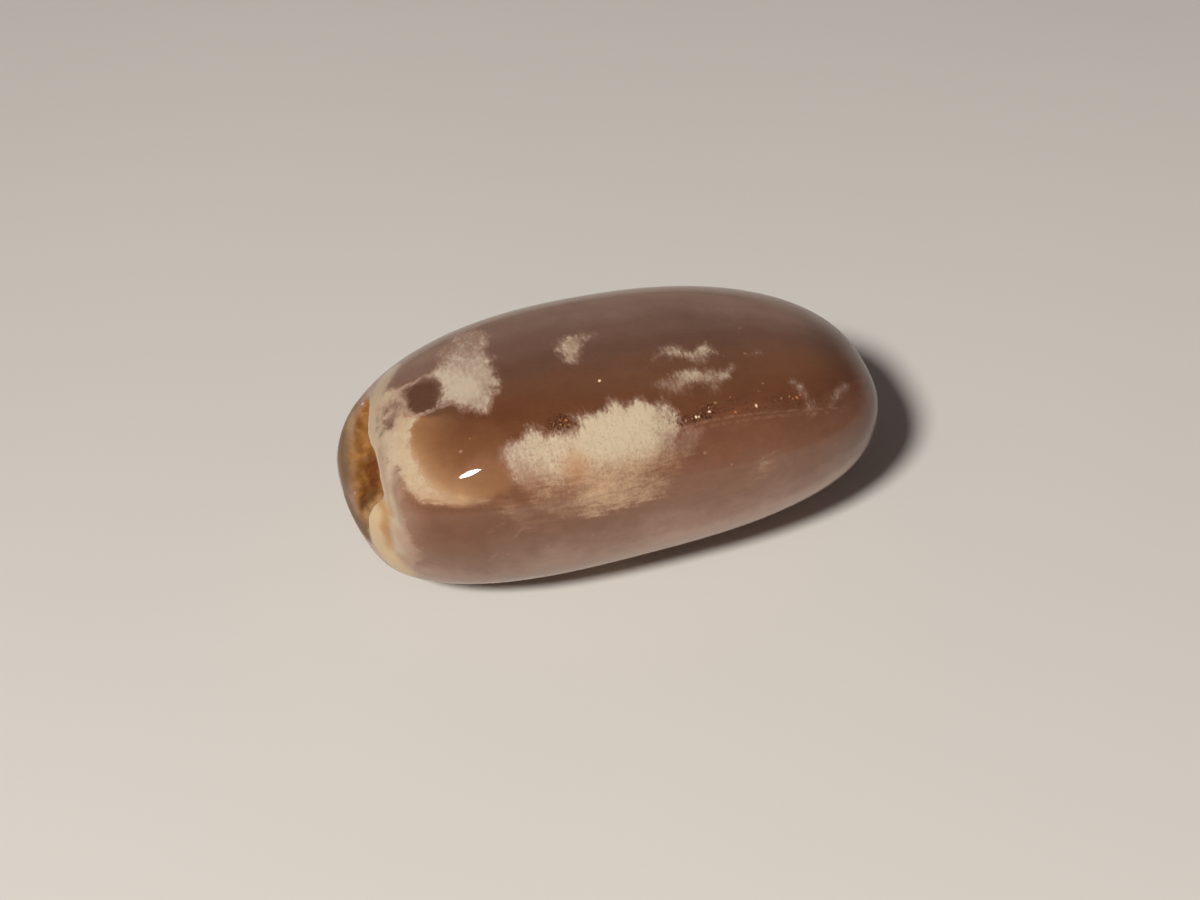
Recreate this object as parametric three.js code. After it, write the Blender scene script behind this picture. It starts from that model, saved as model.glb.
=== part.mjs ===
// A tumbled moonstone, lying on its flattest side, with a natural hollow in one end.
// Millimetres. +X runs along the stone to its plain rounded end, -X to the end with the hollow, +Z is up.
// The origin is on the surface that the stone rests on, under the middle of its box.
import * as THREE from "three";
import { mergeVertices } from "three/addons/utils/BufferGeometryUtils.js";
import { ImprovedNoise } from "three/addons/math/ImprovedNoise.js";

// the worn body, in millimetres from its long axis
const LENGTH = 36;
const FRONT_REACH = 9.5;
const BACK_REACH = 8;
const TOP_REACH = 6.2;
const UNDERSIDE_REACH = 7.9;
const SQUARENESS = 2.58; // 2 would be an egg, more is boxier
const THINNING = 0.18; // share of the height lost towards the plain end
const ARCH = 2; // the ends droop this far below the middle
const REST_FLAT = 0.2; // worn off the underside where it rests

// a flatter patch worn across the lower corner of the hollow's end
const CORNER_FACING = new THREE.Vector3(-0.92, -0.13, -0.36).normalize();
const CORNER_REACH = 15;
const CORNER_SOFTNESS = 0.4;

// the hollow: where its mouth is, the way it faces and the way its long side runs
const HOLLOW_MIDDLE = new THREE.Vector3(-16.45, -0.6, 9);
const HOLLOW_FACING = new THREE.Vector3(-0.82, -0.1, 0.56).normalize();
const HOLLOW_SLANT = new THREE.Vector3(-0.18, -0.9, -0.4);
const HOLLOW_DEPTH = 2;
const HOLLOW_SPAN = 8; // all of it lies this near to its middle
const RIDGE_WALL = 0.8; // width of the steep wall under the top edge
const LIP_WALL = 1.5; // and of the easier slope up to the lip
const LUMP_HEIGHT = 0.25; // of the uneven floor
const LUMP_SIZE = 1.1;

// the mouth's edge, [towards the front, towards the lip] from its middle
const MOUTH = [
  [-4.6, 0.1], [-3, -0.85], [-1.2, -1.2], [0.6, -2.05], [2.4, -2.25], [3.1, -2.1], [3.5, -1.1], [4, 0.3],
  [4.25, 1.15], [3.4, 1.25], [2, 1.15], [0.6, 1.8], [-1, 1.95], [-2.6, 1.5], [-3.9, 0.9],
];

// two shallow valleys that run on from the hollow
const CREASE = [[-16, -4.4, 9.3], [-15.9, -5.1, 8.8], [-15.9, -5.5, 8], [-16, -5.6, 6.9], [-16.1, -5.4, 5.4]];
const CREASE_DEPTH = 0.25;
const RUNOUT = [[-17.3, -3.7, 6.8], [-17.3, -3.8, 6.1], [-17.2, -4, 5.4], [-17, -4.3, 4.4]];
const RUNOUT_DEPTH = 0.45;
const VALLEY_WIDTH = 0.45;

// the mesh is drawn together around the hollow, where the small shapes are
const DETAIL = 21;
const FINEST_WAY = new THREE.Vector3(-0.88, -0.03, 0.47).normalize();
const DRAWN_TOGETHER = 0.66; // radians at most

const { lerp, smoothstep } = THREE.MathUtils;
const noise = new ImprovedNoise();
const towardsFront = HOLLOW_SLANT.clone().projectOnPlane(HOLLOW_FACING).normalize();
const towardsLip = towardsFront.clone().cross(HOLLOW_FACING);

function bodyPoint(direction) {
  const half = LENGTH / 2;
  const across = direction.y < 0 ? FRONT_REACH : BACK_REACH;
  const high = direction.z < 0 ? UNDERSIDE_REACH : TOP_REACH;
  const spread = Math.abs(direction.x / half) ** SQUARENESS
    + Math.abs(direction.y / across) ** SQUARENESS
    + Math.abs(direction.z / high) ** SQUARENESS;
  const point = direction.clone().multiplyScalar(spread ** (-1 / SQUARENESS));
  const s = point.x / half;
  const free = point.z < 0 ? 1 - (point.z / UNDERSIDE_REACH) ** 2 : 1;
  point.z = point.z * (1 - THINNING * s * free) - ARCH * s * s * free;
  point.z += UNDERSIDE_REACH - REST_FLAT;
  const proud = (point.dot(CORNER_FACING) - CORNER_REACH) / CORNER_SOFTNESS;
  point.addScaledVector(CORNER_FACING, -CORNER_SOFTNESS * Math.log(1 + Math.exp(proud)));
  return point;
}

function splinePoints(knots, closed, count) {
  const vectors = knots.map(([x, y, z = 0]) => new THREE.Vector3(x, y, z));
  return new THREE.CatmullRomCurve3(vectors, closed).getPoints(count);
}

const mouthEdge = splinePoints(MOUTH, true, 130);
const crease = splinePoints(CREASE, false, 40);
const runout = splinePoints(RUNOUT, false, 30);

function insideMouth(along, across) {
  let inside = false;
  for (let i = 1; i < mouthEdge.length; i++) {
    const a = mouthEdge[i - 1];
    const b = mouthEdge[i];
    const crosses = (a.y > across) !== (b.y > across);
    if (crosses && along < a.x + (b.x - a.x) * (across - a.y) / (b.y - a.y)) inside = !inside;
  }
  return inside;
}

function nearest(points, to) {
  return Math.min(...points.map((point) => point.distanceTo(to)));
}

function hollowDepth(point) {
  const offset = point.clone().sub(HOLLOW_MIDDLE);
  const flat = new THREE.Vector3(offset.dot(towardsFront), offset.dot(towardsLip), 0);
  if (!insideMouth(flat.x, flat.y)) return 0;
  const lipward = smoothstep(flat.y, -1, 1.2) * (1 - smoothstep(flat.x, 1.5, 3));
  const wall = lerp(RIDGE_WALL, LIP_WALL, lipward);
  const down = smoothstep(nearest(mouthEdge, flat), 0, wall);
  const at = point.clone().divideScalar(LUMP_SIZE);
  return down * (HOLLOW_DEPTH + LUMP_HEIGHT * noise.noise(at.x, at.y, at.z));
}

function valleyDepth(point, line, deepest, taper) {
  const away = nearest(line, point) / VALLEY_WIDTH;
  if (away > 3) return 0;
  const start = point.distanceTo(line[0]);
  const run = line[0].distanceTo(line[line.length - 1]);
  return deepest * Math.exp(-away * away) * (1 - taper * Math.min(1, start / run));
}

function carvedPoint(direction) {
  const point = bodyPoint(direction);
  if (point.distanceTo(HOLLOW_MIDDLE) > HOLLOW_SPAN) return point;
  const depth = hollowDepth(point) + valleyDepth(point, crease, CREASE_DEPTH, 0.5)
    + valleyDepth(point, runout, RUNOUT_DEPTH, 0.9);
  return point.addScaledVector(HOLLOW_FACING, -depth);
}

function stoneGeometry() {
  const sphere = new THREE.IcosahedronGeometry(1, DETAIL);
  sphere.deleteAttribute("normal");
  sphere.deleteAttribute("uv");
  const geometry = mergeVertices(sphere, 1e-5);
  const position = geometry.getAttribute("position");
  const stretch = new THREE.Vector3(LENGTH, FRONT_REACH + BACK_REACH, TOP_REACH + UNDERSIDE_REACH);
  const direction = new THREE.Vector3();
  const axis = new THREE.Vector3();
  for (let i = 0; i < position.count; i++) {
    direction.fromBufferAttribute(position, i);
    axis.crossVectors(direction, FINEST_WAY).normalize();
    direction.applyAxisAngle(axis, DRAWN_TOGETHER * Math.sin(direction.angleTo(FINEST_WAY)));
    const point = carvedPoint(direction.multiply(stretch).normalize());
    position.setXYZ(i, point.x, point.y, Math.max(0, point.z));
  }
  const middle = new THREE.Box3().setFromBufferAttribute(position).getCenter(new THREE.Vector3());
  geometry.translate(-middle.x, -middle.y, 0);
  geometry.computeVertexNormals();
  return geometry;
}

function polishedStone() {
  return new THREE.MeshStandardMaterial({ color: "#7a5040", roughness: 0.1, metalness: 0 });
}

const stone = new THREE.Mesh(stoneGeometry(), polishedStone());
stone.name = "moonstone";

const tumbledMoonstone = new THREE.Group();
tumbledMoonstone.add(stone);
export default tumbledMoonstone;
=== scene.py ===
import math
from types import SimpleNamespace

import bmesh
import bpy
import numpy as np
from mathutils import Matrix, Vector, noise
from mathutils.bvhtree import BVHTree


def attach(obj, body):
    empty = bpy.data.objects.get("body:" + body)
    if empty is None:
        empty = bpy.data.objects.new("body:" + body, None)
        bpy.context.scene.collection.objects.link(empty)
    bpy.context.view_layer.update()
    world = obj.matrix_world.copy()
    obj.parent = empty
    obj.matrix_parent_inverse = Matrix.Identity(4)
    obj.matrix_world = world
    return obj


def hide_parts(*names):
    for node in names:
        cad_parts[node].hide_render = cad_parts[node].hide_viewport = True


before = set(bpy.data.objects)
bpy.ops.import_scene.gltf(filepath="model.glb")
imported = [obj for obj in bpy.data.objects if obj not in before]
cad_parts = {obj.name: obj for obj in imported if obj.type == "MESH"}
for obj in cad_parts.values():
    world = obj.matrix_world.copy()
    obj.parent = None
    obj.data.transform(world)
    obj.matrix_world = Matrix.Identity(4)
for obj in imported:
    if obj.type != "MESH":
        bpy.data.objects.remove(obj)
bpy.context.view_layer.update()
mm = 0.001
print("frame loaded")


def unitVector(x, y, z):
    return Vector((x, y, z)).normalized()


def linear(red, green, blue):  # a colour as a paint chart gives it, 0 to 255, made linear
    return tuple(((c / 255 + 0.055) / 1.055) ** 2.4 for c in (red, green, blue)) + (1,)


class Wire:
    def __init__(self, tree, socket):
        self.tree = tree
        self.socket = socket

    def maths(self, operation, first, second=0.0):
        node = self.tree.nodes.new("ShaderNodeMath")
        node.operation = operation
        for socket, value in zip(node.inputs, (first, second)):
            if isinstance(value, Wire):
                self.tree.links.new(value.socket, socket)
            else:
                socket.default_value = value
        return Wire(self.tree, node.outputs[0])

    def __add__(self, other):
        return self.maths("ADD", self, other)

    def __sub__(self, other):
        return self.maths("SUBTRACT", self, other)

    def __rsub__(self, other):
        return self.maths("SUBTRACT", other, self)

    def __mul__(self, other):
        return self.maths("MULTIPLY", self, other)

    def __rmul__(self, other):
        return self.maths("MULTIPLY", other, self)

    def __truediv__(self, other):
        return self.maths("DIVIDE", self, other)

    def __rpow__(self, other):
        return self.maths("POWER", other, self)


class Finish:
    def __init__(self, owner):  # a material or a world
        owner.use_nodes = True
        self.tree = owner.node_tree
        self.tree.nodes.clear()

    def node(self, kind, settings=None, values=None, output=0):
        made = self.tree.nodes.new("ShaderNode" + kind)
        for name, value in (settings or {}).items():
            if name == "stops":
                self.setStops(made.color_ramp, value)
            else:
                setattr(made, name, value)
        for name, value in (values or {}).items():
            if isinstance(value, Wire):
                self.tree.links.new(value.socket, made.inputs[name])
            else:
                made.inputs[name].default_value = value
        return Wire(self.tree, made.outputs[output])

    def setStops(self, ramp, stops):
        ramp.interpolation = "EASE"
        for position, colour in stops:
            stop = ramp.elements.new(position)
            stop.color = linear(*colour)
        ramp.elements.remove(ramp.elements[0])
        ramp.elements.remove(ramp.elements[-1])

    def ramp(self, value, low, high):  # 0 at low, 1 at high, eased between
        return self.node("MapRange", {"interpolation_type": "SMOOTHSTEP"},
                         {"Value": value, "From Min": low, "From Max": high})

    def mix(self, share, first, second):  # colours
        return self.node("Mix", {"data_type": "RGBA"}, {0: share, 6: first, 7: second}, 2)

    def tint(self, colour, share, name):  # towards one of the stone's tones
        return self.mix(share, colour, linear(*tones[name]))

    def scaled(self, vector, scale):
        return self.node("VectorMath", {"operation": "SCALE"}, {0: vector, "Scale": scale})

    def distance(self, place, spot):
        return self.node("VectorMath", {"operation": "DISTANCE"}, {0: place, 1: spot}, "Value")

    def noise(self, place, scale=1.0, detail=4.0, roughness=0.55):
        return self.node("TexNoise", None, {
            "Vector": place, "Scale": scale, "Detail": detail, "Roughness": roughness})

    def drawnNoise(self, chart, alongScale, aroundScale, detail=3.0, roughness=0.55):  # drawn out one way
        stretch = (alongScale, aroundScale, 1)
        place = self.node("VectorMath", {"operation": "MULTIPLY"}, {0: chart, 1: stretch})
        return self.noise(place, 1, detail, roughness)

    def bands(self, around, stops):  # tones at distances round the stone
        stops = [(place / stone["bandSpan"] + 0.5, tone) for place, tone in stops]
        return self.node("ValToRGB", {"stops": stops}, {"Fac": around / stone["bandSpan"] + 0.5})

    def painted(self, name):
        return self.node("Attribute", {"attribute_name": name}, None, "Fac")

    def near(self, value, low, high):  # 1 where value is within low of zero, 0 beyond high
        return 1 - self.ramp(self.node("Math", {"operation": "ABSOLUTE"}, {0: value}), low, high)

    def surface(self, shader, output="OutputMaterial"):
        made = self.tree.nodes.new("ShaderNode" + output)
        self.tree.links.new(shader.socket, made.inputs["Surface"])


view = {"azimuth": -17.1, "elevation": 47, "distance": 107.4, "lens": 50, "target": (-1.41, -1.25, 6.42)}


def addCamera():
    azimuth = math.radians(view["azimuth"])
    elevation = math.radians(view["elevation"])
    level = math.cos(elevation)
    back = Vector((math.sin(azimuth) * level, -math.cos(azimuth) * level, math.sin(elevation)))
    data = bpy.data.cameras.new("camera")
    data.lens = view["lens"]
    data.sensor_width = 36
    data.clip_start = 0.001
    camera = bpy.data.objects.new("camera", data)
    camera.location = (Vector(view["target"]) + back * view["distance"]) * mm
    camera.rotation_euler = back.to_track_quat("Z", "Y").to_euler()
    bpy.context.scene.collection.objects.link(camera)
    bpy.context.scene.camera = camera


studio = {
    "lampDistance": 600,
    "keyWay": (-0.56, -0.335, 0.757), "keyWidth": 120, "keyPower": 2.12, "keyColour": (1, 0.965, 0.93),
    "keyAim": (0, -250, 0), "keySpread": 110,
    "glintWay": (-0.489, -0.374, 0.788), "glintWidth": 108, "glintHeight": 46, "glintTurn": 76,
    "glintPower": 0.7, "glintColour": (1, 0.97, 0.93),
    "roomColour": (0.092, 0.076, 0.076), "hazeColour": (0.4, 0.37, 0.345), "hazeWay": (-0.2, -1, 0),
    "hazeHeight": 0.42,
    "floorColour": (213, 210, 203), "floorMottle": (210, 206, 199), "floorSize": 900,
    "floorRoughness": 0.75, "floorSegments": 96,
}


def addDisc(name, power, colour, aim=(0, 0, 0)):
    data = bpy.data.lights.new(name, "AREA")
    data.shape = "DISK"
    data.size = studio[name + "Width"] * mm
    data.energy = power
    data.color = colour
    light = bpy.data.objects.new(name, data)
    light.location = unitVector(*studio[name + "Way"]) * studio["lampDistance"] * mm
    light.rotation_euler = (light.location - Vector(aim) * mm).to_track_quat("Z", "Y").to_euler()
    bpy.context.scene.collection.objects.link(light)
    return light


def roomLight():  # even and dim, with a paler haze low down in front
    world = bpy.data.worlds.new("room")
    f = Finish(world)
    way = f.node("TexCoord", None, None, "Generated")
    height = f.node("SeparateXYZ", None, {0: way}, "Z")
    toHaze = unitVector(*studio["hazeWay"])
    front = f.node("VectorMath", {"operation": "DOT_PRODUCT"}, {0: way, 1: toHaze}, "Value")
    haze = (1 - f.ramp(height, 0, studio["hazeHeight"])) * f.ramp(front, 0.1, 0.9)
    colour = f.mix(haze, studio["roomColour"] + (1,), studio["hazeColour"] + (1,))
    f.surface(f.node("Background", None, {"Color": colour}), "OutputWorld")
    return world


def addStudio():
    key = addDisc("key", studio["keyPower"], studio["keyColour"], studio["keyAim"])
    key.data.spread = math.radians(studio["keySpread"])
    key.visible_glossy = False
    glint = addDisc("glint", studio["glintPower"], studio["glintColour"])  # the bright mark on the polish
    glint.data.shape = "ELLIPSE"
    glint.data.size_y = studio["glintHeight"] * mm
    glint.rotation_euler.rotate_axis("Z", math.radians(studio["glintTurn"]))
    glint.visible_diffuse = False
    glint.visible_transmission = False
    bpy.context.scene.world = roomLight()
    bpy.context.scene.view_settings.view_transform = "Standard"


def paperFloor():
    material = bpy.data.materials.new("paperFloor")
    f = Finish(material)
    mottle = f.ramp(f.noise(f.node("TexCoord", None, None, "Object"), 9, 3), 0.3, 0.7)
    colour = f.mix(mottle, linear(*studio["floorColour"]), linear(*studio["floorMottle"]))
    f.surface(f.node("BsdfPrincipled", None, {
        "Base Color": colour, "Roughness": studio["floorRoughness"]}))
    return material


def addFloor():
    mesh = bpy.data.meshes.new("floor")
    disc = bmesh.new()
    radius = studio["floorSize"] * mm / 2
    bmesh.ops.create_circle(disc, cap_ends=True, segments=studio["floorSegments"], radius=radius)
    disc.to_mesh(mesh)
    disc.free()
    floor = bpy.data.objects.new("floor", mesh)
    floor.data.materials.append(paperFloor())
    bpy.context.scene.collection.objects.link(floor)


stone = {
    "grain": 0.158,  # mm, the fineness of its mesh
    "smoothing": 14,
    "blend": 0.8,  # mm, between thick and thin places of a cloud
    "crustHeight": 0.13, "crustStart": 0.1, "crustFull": 0.55,
    "axisHeight": 6.5, "girth": 8, "stretch": 1.01, "lean": 0.01,  # how its chart is laid over it
    "bandSpan": 52,  # mm round it that its bands of tone cover
}


def meshOf(work, name):
    mesh = bpy.data.meshes.new(name)
    work.to_mesh(mesh)
    work.free()
    return mesh


def cadCopy():
    work = bmesh.new()
    work.from_mesh(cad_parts["moonstone"].data)
    bmesh.ops.remove_doubles(work, verts=work.verts, dist=0.001 * mm)
    return work


def refinedMesh():
    rough = bpy.data.objects.new("rough", meshOf(cadCopy(), "rough"))
    bpy.context.scene.collection.objects.link(rough)
    rounder = rough.modifiers.new("rounder", "SUBSURF")
    rounder.levels = rounder.render_levels = 1
    finer = rough.modifiers.new("finer", "REMESH")
    finer.mode = "VOXEL"
    finer.voxel_size = stone["grain"] * mm
    worn = rough.modifiers.new("worn", "SMOOTH")
    worn.iterations = stone["smoothing"]
    worn.factor = 0.5
    mesh = bpy.data.meshes.new_from_object(rough.evaluated_get(bpy.context.evaluated_depsgraph_get()))
    bpy.data.objects.remove(rough)
    return mesh


def hullDepths(points):  # how deep each point lies, in mm, below a skin stretched over the stone
    work = cadCopy()
    skin = bmesh.ops.convex_hull(work, input=work.verts)
    bmesh.ops.delete(work, geom=skin["geom_interior"], context="VERTS")
    tree = BVHTree.FromBMesh(work)
    depths = np.array([tree.find_nearest(point)[3] for point in points]) / mm
    work.free()
    return depths


def paint(mesh, name, values):
    layer = mesh.attributes.new(name, "FLOAT", "POINT")
    layer.data.foreach_set("value", np.asarray(values, np.float32))


def stoneChart(points):  # mm along the stone, and mm round it from its top towards the front
    around = np.arctan2(-points[:, 1], points[:, 2] - stone["axisHeight"]) * stone["girth"]
    return np.stack([points[:, 0] * stone["stretch"], around - points[:, 0] * stone["lean"]], 1)


def insideOutline(places, outline):  # mm inside an outline on the chart, negative outside it
    corners = np.array(outline, float)
    inside = np.zeros(len(places), bool)
    for start, end in zip(corners, np.roll(corners, -1, 0)):
        crosses = (start[1] > places[:, 1]) != (end[1] > places[:, 1])
        slope = (end[0] - start[0]) / ((end[1] - start[1]) or 1e-9)
        inside ^= crosses & (places[:, 0] < start[0] + slope * (places[:, 1] - start[1]))
    away = awayFromLine(places, outline + outline[:1])
    return np.where(inside, away, -away)


def awayFromLine(places, line):  # mm, on the chart or in space
    knots = np.array(line, float)
    nearest = np.full(len(places), 99.0)
    for start, end in zip(knots, knots[1:]):
        side = end - start
        share = np.clip((places - start) @ side / (side @ side), 0, 1)
        nearest = np.minimum(nearest, np.linalg.norm(places - start - share[:, None] * side, axis=1))
    return nearest


# clouds of white in the stone: the outline of each on the chart, and how thick it is at places in it
clouds = {
    "main": {
        "outline": [
            (-9.15, 5.8), (-8.4, 5.2), (-7.5, 5), (-6.9, 4.4), (-6.4, 4.5), (-6, 5.2), (-5.1, 5.3),
            (-4, 5.1), (-4.4, 4.3), (-3.7, 4.5), (-2.7, 4.5), (-2, 4.5), (-1.5, 3.9), (-0.8, 4.4),
            (0, 4.1), (0.8, 4.6), (1.8, 4.9), (2.3, 5.6), (2.3, 6.5), (2.2, 7), (2, 7.6), (1.6, 8.3),
            (1.2, 9), (1.2, 9.7), (0.7, 10.2), (-0.7, 10.3), (-1.6, 10.6), (-3, 10.6), (-4.2, 10.6),
            (-5.6, 10.5), (-6.9, 10), (-7.8, 9.4), (-8.2, 8.5), (-8.6, 7.7), (-8.9, 6.7)],
        "thickness": [
            (-8.5, 5.9, 0.68), (-7.4, 5.7, 0.82), (-6.7, 5.4, 0.9), (-5.5, 6.1, 0.86), (-7.8, 6.9, 0.68),
            (-6.4, 6.9, 0.82), (-4.2, 6.3, 0.92), (-3.3, 5.4, 0.95), (-1.2, 5.6, 1), (-1.5, 4.7, 0.9),
            (0.2, 5.6, 1), (1.2, 6.1, 0.74), (1.3, 7.7, 0.5), (-0.2, 7.1, 0.9), (-2.2, 6.7, 0.95),
            (-3.2, 8.1, 0.8), (-1.2, 8.1, 0.78), (-5.9, 7.8, 0.8), (-7.9, 7.8, 0.58), (-6.9, 8.7, 0.42),
            (-4.1, 9.1, 0.9), (-2.1, 9.7, 0.76), (-0.3, 9, 0.56), (0.5, 9.9, 0.55), (-5.5, 9.7, 0.42),
            (-3.5, 10.1, 0.62), (-4.6, 8.2, 0.72), (1.1, 8.9, 0.32), (-5.6, 8.8, 0.4),
            (-7.2, 9.4, 0.35)]},
    "left": {
        "outline": [
            (-11.6, -2.5), (-10.9, -3.3), (-10.9, -4.5), (-9.8, -4.9), (-9, -5.7), (-7.6, -5.7),
            (-7.1, -4), (-7.6, -2.6), (-7.5, -1.1), (-7.6, 0.3), (-7.8, 1.4), (-8.4, 1.9), (-8.8, 3),
            (-9.6, 2.8), (-10.2, 2.1), (-11, 1), (-11.6, 0.9), (-11.3, -0.2), (-11.1, -1.2)],
        "thickness": [
            (-9.9, -0.2, 1), (-9.6, 0.9, 0.95), (-10.7, -1.3, 0.85), (-9.7, -2, 0.85), (-8.3, -1, 0.75),
            (-8.2, 0.4, 0.7), (-8.5, 1.5, 0.72), (-9.1, 2.3, 0.7), (-10.4, 1.3, 0.75), (-9.3, -3, 0.62),
            (-8, -3.4, 0.55), (-9, -4.4, 0.5), (-10.3, -3.9, 0.4), (-7.9, -5, 0.6)]},
    "crescent": {
        "outline": [
            (-13.9, -0.6), (-14.3, -0.3), (-14.6, 0.4), (-14.8, 1.3), (-15.1, 3.1), (-15.2, 4.2),
            (-15.1, 5.1), (-14.9, 6.1), (-14.8, 6.7), (-14.7, 7.3), (-14.4, 7.9), (-13.9, 8.3),
            (-13.1, 8.5), (-12.1, 8.6), (-11.3, 8.6), (-10.1, 8.6), (-9.3, 8.5), (-10.1, 8.2),
            (-11.2, 8.1), (-12, 7.9), (-12.8, 7.4), (-13.2, 6.8), (-13.5, 6), (-13.65, 5.3),
            (-13.7, 4.6), (-13.65, 3.4), (-13.5, 2.6), (-13.4, 1.8), (-12.8, 1.1), (-13.3, 0.3)],
        "thickness": [
            (-14, 0.2, 0.78), (-14.1, 1.7, 0.9), (-14.4, 4, 0.86), (-14.2, 6, 0.82), (-13.8, 7.6, 0.76),
            (-12.6, 8.1, 0.6), (-12, 8.2, 0.58), (-10.6, 8.4, 0.46), (-9.4, 8.5, 0.3)]},
    "small": {
        "outline": [
            (-3.8, -1), (-3.2, -2), (-2.2, -2.1), (-0.8, -1.8), (-1, -1.3), (-1.7, -0.9), (-2.2, 0.1),
            (-2.9, 0.9), (-3.5, 0.4)],
        "thickness": [(-2.8, -0.9, 0.75), (-2, -1.5, 0.45), (-3, 0.2, 0.5)]},
    "zigzag": {
        "outline": [
            (1.7, 1.5), (2.5, 0.9), (2.7, 0.3), (3.6, 0.3), (4, 0.6), (4.2, 1.1), (4.9, 1.1), (5.5, 0.5),
            (5.9, 0.3), (6, 1.1), (6.4, 1.8), (5.6, 2), (4.8, 2.5), (4.4, 2.3), (4.1, 1.8), (3.2, 1.6),
            (2.6, 1.2), (2, 1.8)],
        "thickness": [
            (2.6, 0.9, 0.5), (3.6, 0.8, 0.75), (4.6, 1.6, 0.75), (5.7, 1.1, 0.9), (4.8, 2.2, 0.5)]},
    "wisp": {
        "outline": [
            (1.3, 3.6), (2.1, 3.2), (2.9, 2.9), (3.7, 2.6), (4.5, 2.9), (5.4, 2.9), (6.2, 3.2),
            (6.9, 2.8), (6.7, 3.6), (6.3, 4.1), (5.6, 4.1), (5.4, 4.9), (5.1, 5.2), (4.8, 4.3), (4.2, 4),
            (3.5, 4.1), (3.4, 4.8), (2.7, 4.7), (2.3, 4.2), (1.7, 4)],
        "thickness": [
            (1.9, 3.6, 0.4), (3.1, 3.4, 0.7), (4, 3.3, 0.8), (5, 3.5, 0.75), (6.2, 3.6, 0.6),
            (3, 4.4, 0.35), (5.2, 4.6, 0.35)]},
    "fleck": {"outline": [(8.3, 2.1), (9.6, 1.4), (9.5, 2.1), (8.7, 2.4)], "thickness": [(9, 1.9, 0.4)]},
    "hook": {
        "outline": [
            (10.5, 5), (11.1, 5.3), (11.4, 6.2), (11.5, 6.9), (11.3, 7.7), (10.8, 7.6), (10.8, 6.8),
            (10.8, 6.2), (10.5, 5.7)],
        "thickness": [(10.8, 5.4, 0.58), (11.1, 6.6, 0.58)]},
    "farHook": {
        "outline": [
            (12.7, 7.6), (12.8, 7), (13.4, 6.4), (14.4, 6.1), (15, 6.5), (13.8, 7.3), (13.2, 7.8)],
        "thickness": [(13.2, 7.2, 0.55), (14.4, 6.5, 0.45)]},
    "blush": {
        "outline": [
            (3.4, 11.4), (5, 10.3), (6.2, 9.6), (7.2, 9.2), (8, 8.8), (8.4, 9.3), (8.1, 10.4), (7.2, 11),
            (5.8, 11.4)],
        "thickness": [(7.5, 9.8, 0.42), (6.2, 10.3, 0.34), (4.8, 10.8, 0.2)]},
    "veil": {
        "outline": [
            (1.2, 6.8), (2.1, 6.4), (2.9, 6.4), (3.6, 6.9), (2.9, 7.6), (2.4, 8.4), (1.6, 9), (0.4, 9.3),
            (0.7, 8.1)],
        "thickness": [(2.3, 7.2, 0.36), (1.7, 8.1, 0.42), (1, 8.7, 0.4), (3, 6.8, 0.26)]},
    "strayFibres": {
        "outline": [
            (-10.2, 8.7), (-9, 8.4), (-8, 8.7), (-7.6, 9.6), (-6.2, 10.4), (-6, 11.2), (-8.4, 10.6)],
        "thickness": [(-9.4, 8.9, 0.4), (-8, 9.8, 0.25)]},
    "backPlume": {
        "outline": [
            (-4, -12), (-1.5, -13.2), (1, -12.6), (3.2, -13.4), (4.6, -12.2), (3.4, -10.9), (1, -10.4),
            (-1.8, -10.2), (-3.8, -10.8)],
        "thickness": [
            (-2.8, -11.4, 0.6), (-1, -12.2, 0.8), (0.6, -11.4, 0.9), (2.4, -12.2, 0.75),
            (3.8, -12.2, 0.4)]},
    "backWisp": {
        "outline": [(6, -9), (8, -10), (10.2, -9.4), (9.4, -8.4), (7.6, -8)],
        "thickness": [(7, -9, 0.45), (8.4, -9, 0.6), (9.4, -9, 0.4)]},
    "backLeft": {
        "outline": [(-13, -12), (-11, -14), (-9, -13), (-8.6, -11), (-10.4, -9.6), (-12.4, -10)],
        "thickness": [(-11.4, -11.2, 0.7), (-10.2, -12.4, 0.85), (-9.6, -11, 0.5), (-12, -12.4, 0.4)]},
    "underPatch": {
        "outline": [(-6, 18), (-3, 17), (0, 18.4), (2.6, 19.6), (1, 21.6), (-2.4, 22), (-5.4, 20.6)],
        "thickness": [(-4.4, 19, 0.6), (-2.6, 19.8, 0.8), (-0.6, 20, 0.7), (1.2, 20.4, 0.4)]},
    "underRight": {
        "outline": [(7, -19), (10, -20.6), (11.4, -18.4), (9.4, -16.8), (7.4, -17.2)],
        "thickness": [(8.4, -18.4, 0.65), (10, -18.8, 0.5)]},
    "rimWeb": {
        "outline": [
            (-14.9, -3.6), (-13.9, -3.7), (-13, -2.9), (-13.3, -1.2), (-13.4, 0), (-13.6, 0.7),
            (-14.4, 0.5), (-14.9, -1)],
        "thickness": [(-13.9, -3.1, 0.8), (-13.5, -2, 0.5), (-13.6, -0.6, 0.65), (-14.6, -2, 0.65)]},
}

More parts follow.
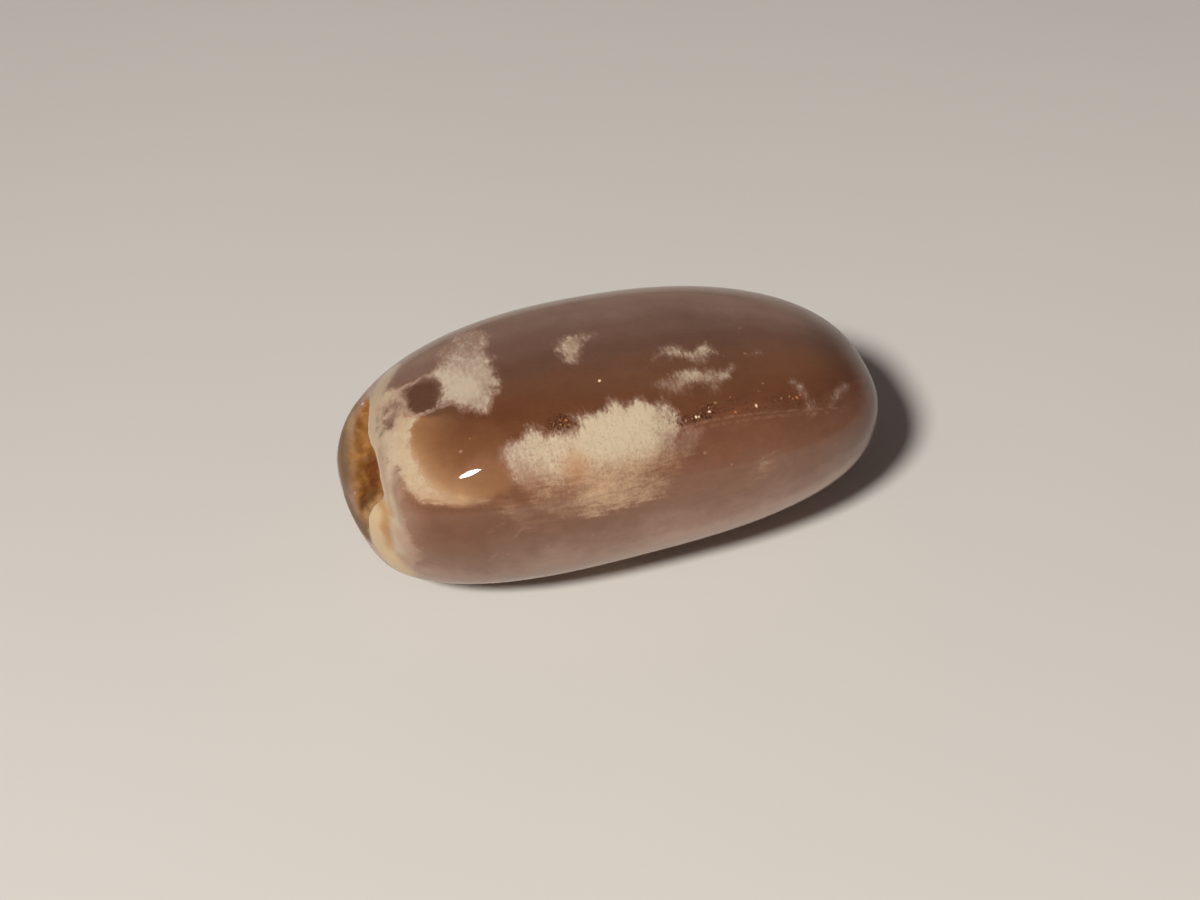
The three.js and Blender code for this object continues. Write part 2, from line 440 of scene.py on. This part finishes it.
# clear places, where the brown of the stone shows, and places peppered with pits
windows = {
    "amberWindow": [
        (-14, -0.5), (-14.5, 1.5), (-14.7, 4), (-14.5, 6), (-14, 7.3), (-13.2, 7.9), (-12, 8.4),
        (-10.5, 8.3), (-9, 8), (-8, 7), (-8, 5.5), (-8.5, 4), (-9.5, 3.2), (-10.5, 2.8), (-11.5, 2),
        (-12.5, 1.3), (-13.2, 0.6)],
    "darkWindow": [
        (-13.3, -1.7), (-13.4, -0.2), (-13, 0.5), (-12.6, 0.9), (-11.9, 0.8), (-11.5, 0.7),
        (-11.3, -0.4), (-11.3, -1.5), (-11.7, -1.9), (-12.5, -2.4), (-12.9, -2.1)],
    "pepperByCrack": [
        (2, 6.5), (2.1, 5.8), (2.8, 5.8), (3.4, 5.8), (4.3, 5.4), (4.9, 5.5), (4.7, 6.2), (4, 6.4),
        (3.4, 6.5)],
    "pepperByCloud": [
        (-5.6, 4.2), (-5, 4), (-4.3, 4.4), (-3.7, 4.7), (-3.9, 5.1), (-4.7, 5.4), (-5.5, 5.4),
        (-6.1, 5)],
}

# stains drawn with a brush, and painted shade in the hollow's deep groove, in the order they lie: tone,
# half width, strength and the line in space
streaks = {
    "rimBand": ((178, 159, 135), 0.66, 0.92, [
        (-13.4, 4.7, 11.3), (-14.2, 3.7, 11.3), (-14.8, 2.6, 11.2), (-15.3, 1.7, 10.9),
        (-15.6, 0.4, 10.7), (-15.6, -1, 10.6), (-15.6, -2.2, 10.4), (-15.6, -3.1, 10.1),
        (-15.6, -4.2, 9.3), (-15.5, -4.9, 8.4), (-15.5, -5.2, 7.3), (-15.5, -5.3, 6.2)]),
    "mauvePatch": ((126, 100, 85), 0.3, 0.85, [
        (-13.5, 1.5, 12.05), (-13.8, 0.9, 11.9), (-14.1, 0.5, 11.73), (-14.35, 0.25, 11.6)]),
    "rimEdge": ((178, 156, 130), 0.2, 0.9, [
        (-14.5, 2.2, 11.45), (-14.75, 1.4, 11.4), (-14.95, 0.75, 11.25), (-15.05, 0.1, 11.2)]),
    "paleRim": ((188, 168, 144), 0.42, 0.9, [
        (-14.75, -0.7, 11.35), (-14.8, -1.4, 11.2), (-14.9, -2.1, 11), (-15, -2.8, 10.7),
        (-15.1, -3.3, 10.4)]),
    "paleFoot": ((170, 140, 121), 0.22, 0.6, [(-14.95, -3.9, 10.4), (-14.95, -4.4, 9.9)]),
    "rimGap": ((140, 115, 97), 0.16, 0.7, [
        (-15.45, -1.2, 10.8), (-15.52, -2.5, 10.4), (-15.55, -3.4, 10), (-15.6, -4, 9.4),
        (-15.55, -4.6, 8.7)]),
    "lilacEdge": ((132, 106, 92), 0.2, 0.7, [
        (-15.0, -3.2, 10.7), (-15.2, -4.1, 10), (-15.2, -4.8, 9.2), (-15.15, -5.2, 8.5)]),
    "frontPatch": ((168, 138, 117), 0.5, 0.85, [
        (-15.4, -5.3, 7.6), (-15.1, -5.6, 6.8), (-14.8, -5.9, 6.2), (-15, -5.7, 5.4), (-15.4, -5.4, 5)]),
    "lipBand": ((108, 85, 61), 0.66, 1.0, [
        (-16.4, 4.1, 9.7), (-17.2, 2.9, 8.9), (-17.7, 1.6, 8), (-17.9, 0.2, 7.5), (-17.85, -1, 6.9),
        (-17.6, -2, 6.2), (-17.2, -2.9, 5.6)]),
    "lipTan": ((166, 130, 92), 0.16, 0.75, [
        (-16.2, 3.6, 9.5), (-16.6, 2.6, 8.9), (-16.95, 1.5, 8.2), (-17.1, 0.4, 7.8),
        (-17.2, -0.8, 7.7)]),
    "lipTop": ((150, 122, 92), 0.3, 0.8, [(-16.3, 3.8, 9.5), (-16.7, 3, 9)]),
    "lipFoot": ((166, 132, 98), 0.26, 0.85, [(-17.25, -2.1, 6.8), (-16.95, -2.4, 6.5)]),
    # painted shade: dark red-brown along the deep groove under the ridge, at its foot and at its end
    "grooveShadeFoot": ((98, 50, 18), 0.5, 0.9, [
        (-15.7, 0.5, 7.9), (-15.9, -0.2, 7.7), (-16, -0.8, 7.6), (-16.3, -1.3, 7.4)]),
    "grooveShadeEnd": ((88, 50, 18), 0.36, 1.0, [(-16.6, -1.6, 7.2), (-16.95, -2, 6.9)]),
    "lumpTop": ((188, 152, 108), 0.17, 0.95, [(-16, -1.75, 7), (-16.5, -2, 6.8), (-16.9, -2.25, 6.6)]),
    "lump": ((188, 163, 128), 0.95, 1.0, [
        (-16.6, -3.6, 8.3), (-16.9, -3.7, 7.2), (-16.6, -4.2, 6), (-16.2, -4.6, 5), (-15.6, -5.1, 3.6)]),
    "lumpGold": ((168, 128, 76), 0.26, 0.9, [
        (-16.1, -3.7, 8.9), (-15.9, -4.2, 8.6), (-15.95, -4.5, 8), (-16.1, -4.55, 7.5)]),
    "lumpOrange": ((170, 124, 74), 0.27, 0.85, [(-16.1, -4.6, 7.4), (-16, -4.8, 6.7), (-16.1, -4.7, 6)]),
    "olive": ((124, 92, 44), 0.2, 0.6, [(-16.2, -1.2, 7.4), (-16.45, -1.5, 7.3)]),
}

# lines of white along cracks, as points on the chart
veins = [
    [(-14, -3), (-13.5, -2.9), (-13, -2.8), (-12.5, -2.6), (-11.8, -2.8), (-11.5, -2.3), (-11.1, -2.6)],
    [(-13.7, -3), (-13.7, -2.2), (-13.4, -1.2), (-13.5, -0.3), (-13.1, 0.8), (-12.6, 1), (-12, 1),
     (-11, 1.1)],
]

# faint scratches in the polish of the lower front, also on the chart
scratches = [
    [(-10.6, 10.6), (-9.8, 10.1), (-9, 9.8), (-8.5, 9.9)],
    [(-11.3, 13.4), (-10.8, 13.9), (-10.1, 14.9)],
    [(-10.6, 13.1), (-9.9, 12.3), (-9.1, 11.3), (-8.5, 10.4)],
]


def thicknessOf(cloud, chart):  # blended between the places that are given
    total = np.zeros(len(chart))
    weights = np.full(len(chart), 1e-9)
    for along, around, thick in cloud["thickness"]:
        weight = np.exp(-((chart - (along, around)) ** 2).sum(1) / stone["blend"] ** 2)
        total += weight * thick
        weights += weight
    return total / weights


def paintMarkings(mesh, points):
    chart = stoneChart(points)
    reaches = []
    for name, cloud in clouds.items():
        reach = insideOutline(chart, cloud["outline"])
        if name == "crescent":
            paint(mesh, "besideCrescent", -reach)
            reach *= 1.7  # crisper than the others
        reaches.append(reach)
    nearest = np.argmax(reaches, axis=0)
    thicknesses = [thicknessOf(cloud, chart) for cloud in clouds.values()]
    paint(mesh, "cloud", np.max(reaches, axis=0))
    paint(mesh, "thickness", np.choose(nearest, thicknesses))
    for name, outline in windows.items():
        paint(mesh, name, insideOutline(chart, outline))
    for name, (_, half, _, line) in streaks.items():
        paint(mesh, name, half - awayFromLine(points, line))
    paint(mesh, "vein", np.min([awayFromLine(chart, line) for line in veins], axis=0))
    paint(mesh, "scratch", np.min([awayFromLine(chart, line) for line in scratches], axis=0))


def raiseCrust(mesh, points, depths):  # lumps on the hollow's floor
    normals = np.array([vertex.normal[:] for vertex in mesh.vertices])
    share = np.clip((depths - stone["crustStart"]) / (stone["crustFull"] - stone["crustStart"]), 0, 1)
    for i in np.nonzero(share)[0]:
        place = Vector(points[i]) / mm
        lumps = noise.fractal(place * 1.3, 0.9, 2.1, 4) + 0.5 * noise.fractal(place * 4, 0.8, 2.2, 3)
        points[i] += normals[i] * share[i] * lumps * stone["crustHeight"] * mm
    mesh.vertices.foreach_set("co", points.ravel())
    mesh.update()


def buildStone():
    mesh = refinedMesh()
    mesh.name = "moonstoneSurface"
    points = np.empty(len(mesh.vertices) * 3)
    mesh.vertices.foreach_get("co", points)
    points = points.reshape(-1, 3)
    print("stone remeshed:", len(points), "points")
    depths = hullDepths([vertex.co for vertex in mesh.vertices])
    raiseCrust(mesh, points, depths)
    paint(mesh, "depth", depths)
    paintMarkings(mesh, points / mm)
    mesh.polygons.foreach_set("use_smooth", np.ones(len(mesh.polygons), bool))
    mesh.materials.clear()
    mesh.materials.append(moonstoneFinish())
    piece = bpy.data.objects.new("tumbledMoonstone", mesh)
    bpy.context.scene.collection.objects.link(piece)
    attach(piece, "root")
    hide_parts("moonstone")
    print("stone painted")


# tones, 0 to 255, at distances in mm round the stone from its top towards the front
leftTones = [
    (-22, (146, 114, 95)), (-16, (130, 100, 82)), (-10, (143, 118, 103)), (-6, (144, 119, 103)),
    (-4, (123, 96, 82)), (-2, (106, 78, 65)), (0, (97, 67, 51)), (2, (101, 66, 45)), (3.5, (96, 56, 34)),
    (5, (106, 66, 40)), (7, (126, 88, 62)), (8.4, (116, 78, 55)), (10, (110, 72, 50)),
    (12, (120, 83, 61)), (13.5, (130, 98, 81)), (15, (152, 122, 105)), (17, (162, 136, 120)),
    (20, (146, 114, 97)), (22, (146, 114, 95))]
# on the right half, the tones at 3 to 5.8 mm round are partly painted light: made lighter where the stone
# turns away from the lamp
rightTonesWithPaintedLight = [
    (-22, (146, 114, 95)), (-17, (134, 100, 78)), (-11, (156, 128, 110)), (-6, (156, 128, 111)),
    (-4, (136, 109, 96)), (-2, (118, 90, 76)), (0, (108, 78, 63)), (2, (112, 76, 56)),
    (3, (111, 74, 51)), (4.5, (109, 69, 45)), (5.8, (110, 68, 45)), (7, (119, 79, 57)),
    (9, (128, 88, 67)), (11, (138, 100, 79)), (12.5, (156, 120, 102)), (14, (184, 150, 132)),
    (15.5, (175, 143, 126)), (19, (146, 114, 97)), (22, (146, 114, 95))]

tones = {
    "leftPole": (136, 106, 90), "rightPole": (122, 86, 66), "rightEnd": (110, 60, 28),
    "endHaze": (164, 132, 112), "amber": (154, 110, 73), "honey": (180, 148, 112),
    "warm": (180, 130, 90), "flush": (140, 88, 62), "darkWindow": (91, 61, 45),
    "thinCloud": (172, 140, 122), "cloud": (208, 190, 161), "leftCloud": (194, 177, 156),
    "crescent": (190, 171, 141), "thinFibre": (148, 110, 84), "fibre": (194, 161, 128),
    # ochre and gold are the crust's own colours; the dark red-brown after them is painted shade for the
    # hollow's deepest part
    "ochre": (158, 110, 56), "gold": (128, 84, 34), "deepShade": (102, 54, 20),
    "vein": (180, 152, 132), "crack": (168, 126, 98), "pit": (66, 38, 24),
    "spark": (250, 220, 180), "ember": (204, 122, 78), "olive": (158, 124, 66),
    "speck": (158, 116, 94), "scratch": (178, 152, 136),
}

polish = {
    "roughness": 0.04, "crustRoughness": 0.5, "lipRoughness": 0.45, "endRoughness": 0.21,
    "footRoughness": 0.18, "ior": 1.53,
    "softness": 0.12, "softColours": (1.0, 0.5, 0.3), "softReach": 1.2,
}

# a warmer place in the main cloud
warmth = {"middle": (-4.7, 7.3, 0), "reach": 1.4}

# a long healed crack on the chart, level at its middle and bending down towards both ends
crack = {"middle": 4, "around": 6.48, "bend": 0.0165, "start": 0.9, "end": 14.5, "halfWidth": 0.035}

# glints and specks on the chart, with their size in mm
flecks = {
    "spark": [(3.3, 6.1, 0.1), (3.5, 6.1, 0.07), (4.25, 5.95, 0.1), (7.4, 6.2, 0.13), (-1.8, 2.5, 0.12)],
    "ember": [
        (10.1, 6.3, 0.08), (10.4, 6.3, 0.13), (10.7, 6.15, 0.09), (5.9, 6.3, 0.1), (-4.6, 4.7, 0.08)],
    "olive": [(9.9, 6.1, 0.09), (4.8, 5.5, 0.12), (-5, 4.9, 0.08)],
    "speck": [
        (2.6, 6.2, 0.1), (4.3, 5.7, 0.06), (7.9, 5.3, 0.07), (9.3, 6.1, 0.1), (8.4, 4.8, 0.08),
        (5.9, 5.3, 0.08), (-11.1, 5.1, 0.14), (8.1, 1.9, 0.14), (8.9, 1.9, 0.12), (8, -3.6, 0.1),
        (8.6, -1.1, 0.12), (4.9, 9.1, 0.1), (3.3, 8.1, 0.12), (-7, 12.2, 0.12), (-4.2, 11.9, 0.1),
        (-10.4, 4.4, 0.07), (-9.4, 12.6, 0.08)],
}

# how much of its tone each marking gives at its strongest
strengths = {
    "rightEnd": 0.8, "endHaze": 0.55, "honey": 0.8, "under": 0.35, "flush": 0.45, "flaws": 0.26,
    "warm": 0.6, "crack": 0.38, "strand": 0.3, "trail": 0.55, "pepper": 0.14, "scratch": 0.2, "vein": 0.8,
}


def placesOn(f):  # where a point of the stone lies, and the noises that its markings share
    at = SimpleNamespace()
    at.place = f.scaled(f.node("TexCoord", None, None, "Object"), 1 / mm)
    along, at.across, up = (f.node("SeparateXYZ", None, {0: at.place}, axis) for axis in "XYZ")
    height = up - stone["axisHeight"]
    angle = f.node("Math", {"operation": "ARCTAN2"}, {0: -1 * at.across, 1: height})
    at.around = angle * stone["girth"] - along * stone["lean"]
    at.along = along * stone["stretch"]
    at.chart = f.node("CombineXYZ", None, {"X": at.along, "Y": at.around})
    fromAxis = f.distance(f.node("CombineXYZ", None, {"Y": at.across, "Z": height}), (0, 0, 0))
    at.pole = 1 - f.ramp(fromAxis, 1, 4.5)
    at.low = f.ramp(at.around, 6.6, 8.6)
    at.mottle = f.noise(at.place, 1.1, 4, 0.6) - 0.5
    at.grain = f.noise(at.place, 6, 3, 0.6) - 0.5
    at.tufts = f.drawnNoise(at.chart, 0.8, 0.7, 5, 0.65) - 0.5
    at.hairs = f.drawnNoise(at.chart, 4.6, 1.5, 3, 0.6) - 0.5
    at.fibres = f.drawnNoise(at.chart, 0.8, 4.2, 5, 0.65) - 0.5
    at.crumbs = f.noise(at.chart, 5.5, 2, 0.7)
    return at


def bodyTone(f, at):
    drift = f.noise(at.place, 0.22, 3) - 0.5
    around = at.around + drift * 3 + at.mottle * 0.7
    toRight = f.ramp(at.along + drift * 6, -12, 3)
    # the right half's bands hold some painted light near the top
    body = f.mix(toRight, f.bands(around, leftTones), f.bands(around, rightTonesWithPaintedLight))
    poleTone = f.mix(f.ramp(at.along, -5, 5), linear(*tones["leftPole"]), linear(*tones["rightPole"]))
    body = f.mix(at.pole, body, poleTone)
    rightEnd = f.ramp(at.along, 13.5, 17) * (1 - f.ramp(at.across, -0.7, 3))
    body = f.tint(body, rightEnd * strengths["rightEnd"], "rightEnd")
    endHaze = (1 - f.ramp(at.along, -15.8, -13.4)) * f.ramp(at.around, 6.5, 8.5)
    endHaze = endHaze * (1 - f.ramp(at.around, 9.5, 13))
    return f.tint(body, endHaze * strengths["endHaze"], "endHaze")


def addWindows(f, at, body):
    inAmber = f.ramp(f.painted("amberWindow") + at.mottle * 0.6, -0.4, 0.4)
    beside = f.painted("besideCrescent") + at.tufts * 0.5
    beforeTail = 1 - f.ramp(at.along, -12, -10)  # the crescent thins out to a tail on its right
    amber = math.e ** (beside / -1.8) * inAmber * (beforeTail * 0.17 + 0.78)
    body = f.tint(body, amber, "amber")
    honey = math.e ** (beside / -0.45) * inAmber * f.ramp(at.around, 2.2, 6)
    honey = honey * (beforeTail * 0.85 + 0.15)
    body = f.tint(body, honey * strengths["honey"], "honey")
    inWindow = f.ramp(f.painted("darkWindow") + at.hairs * 0.5, -0.2, 0.3)
    body = f.tint(body, inWindow, "darkWindow")
    # painted shadow: a thin dark line along the crescent's outer lower edge, in the dark window's tone
    under = f.near(beside - 0.25, 0.05, 0.25) * (1 - inAmber) * f.ramp(at.around, 7.4, 8.2)
    under = under * f.ramp(at.hairs, -0.1, 0.15)
    return f.tint(body, under * strengths["under"], "darkWindow")


# reddish flushes and a random mottle in the tone, plus painted light on the top of the right half
def addMottleAndPaintedLight(f, at, body):
    flush = f.ramp(f.drawnNoise(at.chart, 0.22, 0.5, 4, 0.6), 0.5, 0.68)
    flush = flush * f.ramp(at.around, 4, 7) * (1 - f.ramp(at.around, 9, 12))
    body = f.tint(body, flush * strengths["flush"], "flush")
    strands = at.fibres * f.near(at.around, 16, 21) * (1 - at.pole)
    # painted light: over the top from about 6 to 15 mm along, up to 28% lighter where the stone turns
    # away from the lamp
    rightEnd = f.ramp(at.along, 6, 11) * (1 - f.ramp(at.along, 12.5, 15)) * f.near(at.around, 3.5, 7)
    return f.scaled(body, at.mottle * 0.3 + at.grain * 0.18 + strands * 0.2 + rightEnd * 0.28 + 1)


def cloudShare(f, at):  # how much a cloud of white hides the stone
    tear = at.tufts * 1.5 + at.hairs * (1 - at.low) * 0.8 + at.fibres * at.low * 1.3 + at.grain * 0.3
    edge = f.ramp(f.painted("cloud") + tear, -0.25, 0.55)
    thick = f.painted("thickness")
    web = f.near(f.drawnNoise(at.chart, 1.3, 0.8, 3, 0.6) - 0.5, 0.005, 0.05) - 0.2
    web = web * (1 - f.ramp(at.around, -2.5, 0.5))
    sand = at.grain * (f.ramp(at.along, -8.5, -6.5) * 0.45 + 0.2)
    patchy = sand + at.hairs * (1 - at.low) * 0.8 + at.fibres * at.low * 1.3 + at.tufts * 1.1 + web * 0.22
    share = edge * thick * ((1.15 - thick) * patchy * 2.2 + 1)
    flaws = f.ramp(at.crumbs, 0.52, 0.66) * f.near(at.around - 7, 1, 3) * f.ramp(at.tufts, -0.15, 0.1)
    whole = 1 - flaws * strengths["flaws"]
    return f.node("Math", {"operation": "MULTIPLY", "use_clamp": True}, {0: share, 1: whole})


def addClouds(f, at, body, cloud):
    cream = f.mix(f.ramp(at.along, -13.6, -12), linear(*tones["crescent"]), linear(*tones["leftCloud"]))
    cream = f.tint(cream, f.ramp(at.along, -9.5, -5.5), "cloud")
    full = f.ramp(cloud, 0.3, 0.95)
    cloudTone = f.mix(full, linear(*tones["thinCloud"]), cream)
    fibreTone = f.mix(full, linear(*tones["thinFibre"]), linear(*tones["fibre"]))
    body = f.mix(cloud, body, f.mix(at.low, cloudTone, fibreTone))
    warm = 1 - f.ramp(f.distance(at.chart, warmth["middle"]), 0, warmth["reach"])
    return f.tint(body, warm * strengths["warm"], "warm")


def addCrack(f, at, body):
    half = crack["halfWidth"]
    fromMiddle = at.along - crack["middle"]
    away = at.around - fromMiddle * fromMiddle * crack["bend"] - crack["around"]
    wander = at.mottle * 0.35 + at.hairs * 0.12
    onCrack = f.ramp(at.along, crack["start"], crack["start"] + 1)
    onCrack = onCrack * (1 - f.ramp(at.along, crack["end"] - 2, crack["end"]))
    broken = f.ramp(f.drawnNoise(at.chart, 1.5, 0.3), 0.35, 0.6)
    line = f.near(away + wander, half, half * 3) * onCrack * broken
    body = f.tint(body, line * strengths["crack"], "crack")
    strand = f.near(away - 0.3 - wander, half, half * 4) * onCrack * (1 - broken)
    body = f.tint(body, strand * strengths["strand"], "crack")
    trail = f.near(away + 0.6, 0.3, 0.8) * onCrack * f.ramp(at.tufts, -0.2, 0.1) * strengths["trail"]
    body = f.tint(body, trail * f.ramp(at.crumbs, 0.56, 0.62), "pit")
    return f.tint(body, trail * (1 - f.ramp(at.crumbs, 0.3, 0.36)), "crack")


def addPepper(f, at, body, cloud):
    for name in "pepperByCrack", "pepperByCloud":
        peppered = f.ramp(f.painted(name) + at.mottle * 0.5, -0.1, 0.3) * (1 - cloud)
        body = f.tint(body, peppered * strengths["pepper"], "pit")
        body = f.tint(body, peppered * f.ramp(at.crumbs, 0.5, 0.58), "pit")
        body = f.tint(body, peppered * (1 - f.ramp(at.crumbs, 0.32, 0.4)), "crack")
    return body


def addFlecks(f, at, body):
    scratch = f.near(f.painted("scratch") + at.mottle * 0.5, 0.03, 0.14) * f.ramp(at.tufts, -0.1, 0.15)
    body = f.tint(body, scratch * strengths["scratch"], "scratch")
    for tone, spots in flecks.items():
        for along, around, size in spots:
            away = f.distance(at.chart, (along, around, 0)) + at.grain * 0.2
            body = f.tint(body, 1 - f.ramp(away, size * 0.5, size), tone)
    return body


def addCrust(f, at, colour, depth, crust):
    patches = f.ramp(f.noise(at.place, 0.9, 4), 0.4, 0.6)
    crustTone = f.mix(patches, linear(*tones["ochre"]), linear(*tones["gold"]))
    # painted shade: the crust turns dark red-brown where the hollow lies deeper than about 1.6 mm, under
    # the ridge
    crustTone = f.tint(crustTone, f.ramp(depth + at.grain, 1.6, 2.4), "deepShade")
    return f.mix(crust, colour, crustTone)


def addStainsAndPaintedShade(f, at, colour):
    # real stains, and painted shade in the hollow's deep groove
    for name, (tone, _, strength, _) in streaks.items():
        reach = f.ramp(f.painted(name) + at.mottle * 0.9 + at.grain * 0.4, -0.35, 0.4)
        colour = f.mix(reach * strength, colour, linear(*tone))
    vein = 1 - f.ramp(f.painted("vein") + at.hairs * 0.4 + at.tufts * 0.7 + 0.05, 0.02, 0.32)
    vein = vein * f.ramp(at.fibres, -0.25, 0.05)
    return f.tint(colour, vein * strengths["vein"], "vein")


def roughnessOf(f, at, crust):
    lip = f.ramp(f.painted("lipBand"), -0.2, 0.2)
    rightEnd = f.ramp(at.along, 8, 14)
    foot = (1 - f.ramp(at.along, -11, -7)) * f.ramp(at.around, 8.2, 9.4)
    dull = lip * polish["lipRoughness"] + rightEnd * polish["endRoughness"]
    dull = dull + foot * polish["footRoughness"]
    return crust * polish["crustRoughness"] + dull + polish["roughness"]


def moonstoneFinish():
    material = bpy.data.materials.new("moonstone")
    f = Finish(material)
    at = placesOn(f)
    depth = f.painted("depth")
    crust = f.ramp(depth, 0.12, 0.45)
    cloud = cloudShare(f, at)
    colour = addMottleAndPaintedLight(f, at, addWindows(f, at, bodyTone(f, at)))
    colour = addClouds(f, at, colour, cloud)
    colour = addCrack(f, at, colour)
    colour = addPepper(f, at, colour, cloud)
    colour = addFlecks(f, at, colour)
    colour = addCrust(f, at, colour, depth, crust)
    colour = addStainsAndPaintedShade(f, at, colour)
    f.surface(f.node("BsdfPrincipled", None, {
        "Base Color": colour, "Roughness": roughnessOf(f, at, crust), "IOR": polish["ior"],
        "Subsurface Weight": polish["softness"], "Subsurface Radius": polish["softColours"],
        "Subsurface Scale": polish["softReach"] * mm,
    }))
    return material


addCamera()
addStudio()
addFloor()
print("studio ready")
buildStone()
